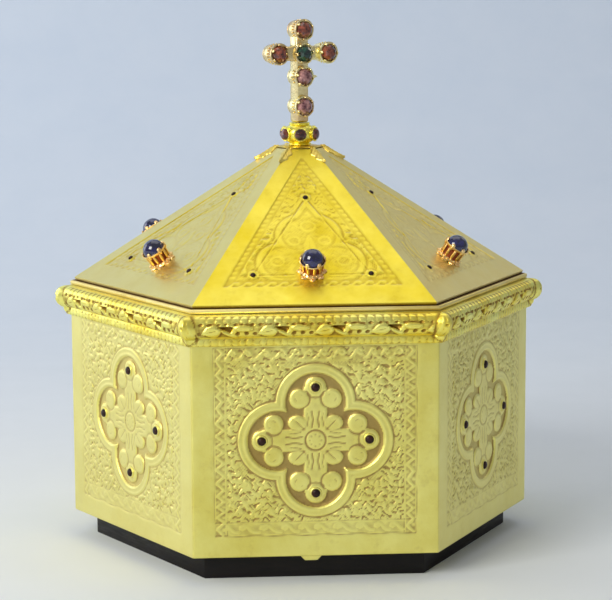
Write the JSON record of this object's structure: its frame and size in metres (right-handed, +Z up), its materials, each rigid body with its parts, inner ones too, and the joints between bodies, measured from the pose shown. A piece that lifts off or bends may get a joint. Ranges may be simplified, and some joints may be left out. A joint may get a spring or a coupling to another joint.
{
  "type": "altar tabernacle",
  "caption": "Small hexagonal gilt altar tabernacle: hollow box with chased quatrefoil walls under a lift-off pyramid roof with gem settings, a knob and a jewelled cross.",
  "frame": {"origin": "on the surface it stands on, under the middle of the plinth", "axes": "+Z up along the axis through the knob; the front wall faces -Y and two corners of the hexagon lie on the X axis"},
  "size_m": [0.3208, 0.2778, 0.3371],
  "materials": {
    "plinth": "black stain, satin",
    "walls": "chased and gilt, satin",
    "casting": "cast and gilt",
    "rim": "gilt, reddish",
    "roof": "chased and gilt, bright",
    "collet": "cast and gilt, polished",
    "blue_stone": "polished cabochon",
    "garnet": "polished",
    "red_stone": "polished",
    "rose_stone": "polished",
    "green_stone": "polished"
  },
  "bodies": {
    "root": {"plinth": "plinth", "body": "walls", "cornice": "casting", "rim_plate": "rim", "roof": "roof", "leaf_collar": "casting", "knob": "casting", "cross": "casting", "gem_collet_1": "collet", "gem_1": "blue_stone", "knob_stone_1": "garnet", "gem_collet_2": "collet", "gem_2": "blue_stone", "knob_stone_2": "garnet", "gem_collet_3": "collet", "gem_3": "blue_stone", "knob_stone_3": "garnet", "gem_collet_4": "collet", "gem_4": "blue_stone", "knob_stone_4": "garnet", "gem_collet_5": "collet", "gem_5": "blue_stone", "knob_stone_5": "garnet", "gem_collet_6": "collet", "gem_6": "blue_stone", "knob_stone_6": "garnet", "wall_stone_1": "garnet", "wall_stone_2": "garnet", "wall_stone_3": "garnet", "wall_stone_4": "garnet", "wall_stone_5": "garnet", "wall_stone_6": "garnet", "wall_stone_7": "garnet", "wall_stone_8": "garnet", "wall_stone_9": "garnet", "wall_stone_10": "garnet", "wall_stone_11": "garnet", "wall_stone_12": "garnet", "wall_stone_13": "garnet", "wall_stone_14": "garnet", "wall_stone_15": "garnet", "wall_stone_16": "garnet", "wall_stone_17": "garnet", "wall_stone_18": "garnet", "wall_stone_19": "garnet", "wall_stone_20": "garnet", "wall_stone_21": "garnet", "wall_stone_22": "garnet", "wall_stone_23": "garnet", "wall_stone_24": "garnet", "cross_stone_top": "red_stone", "cross_stone_left": "red_stone", "cross_stone_right": "red_stone", "cross_stone_centre": "green_stone", "cross_stone_upper": "rose_stone", "cross_stone_lower": "rose_stone"}
  },
  "joints": []
}
